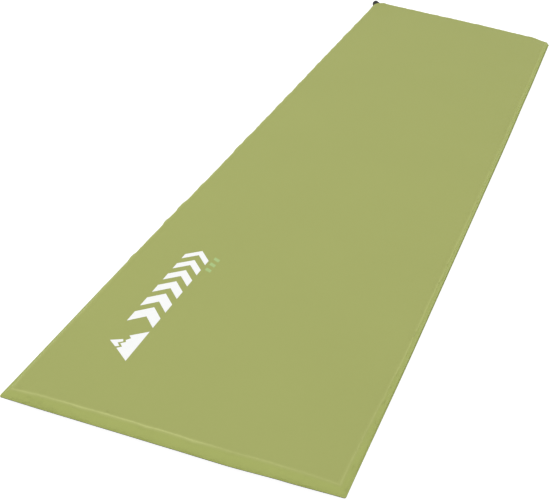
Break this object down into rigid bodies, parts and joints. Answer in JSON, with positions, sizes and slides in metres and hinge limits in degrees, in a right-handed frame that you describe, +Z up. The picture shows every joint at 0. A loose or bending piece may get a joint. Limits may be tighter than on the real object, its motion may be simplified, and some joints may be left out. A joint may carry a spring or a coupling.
{
  "type": "self-inflating sleeping mat",
  "caption": "Long flat foam mat sealed in coated fabric, with a welded rim and a black twist valve across one cut corner.",
  "frame": {"origin": "middle of the underside, on the ground", "axes": "+X across the mat, +Y along the mat towards the valve end, +Z up; the valve is at the -X, +Y corner"},
  "size_m": [0.5162, 1.8362, 0.025],
  "materials": {
    "top_fabric": "fine coated polyester, matt, yellow-green",
    "base_fabric": "coated polyester, dark grey-green, matt, with raised grip dots",
    "foam": "open-cell polyurethane foam, pale yellow",
    "valve_plastic": "moulded black plastic, satin",
    "cap_plastic": "moulded black plastic, fine matt texture",
    "stem_plastic": "moulded dark grey plastic",
    "seal_rubber": "black nitrile rubber",
    "spring_steel": "bright spring steel"
  },
  "bodies": {
    "mat": {"top_cover": "top_fabric", "bottom_cover": "base_fabric", "foam_core": "foam", "valve_body": "valve_plastic", "valve_stem": "stem_plastic", "stem_seal": "seal_rubber", "stop_ring": "spring_steel"},
    "cap_carriage": {"cap_seal": "seal_rubber"},
    "cap": {"valve_cap": "cap_plastic"}
  },
  "joints": [
    {"name": "cap_travel", "type": "slide", "parent": "mat", "child": "cap_carriage", "axis": [-0.7071, 0.7071, 0], "range_m": [0, 0.003]},
    {"name": "cap_turn", "type": "hinge", "parent": "cap_carriage", "child": "cap", "pos_m": [-0.241, 0.901, 0.016], "axis": [-0.7071, 0.7071, 0], "range_deg": [0, 450]}
  ],
  "couplings": [
    {"joint": "cap_turn", "follows": "cap_travel", "rad_per_m": 2618}
  ]
}
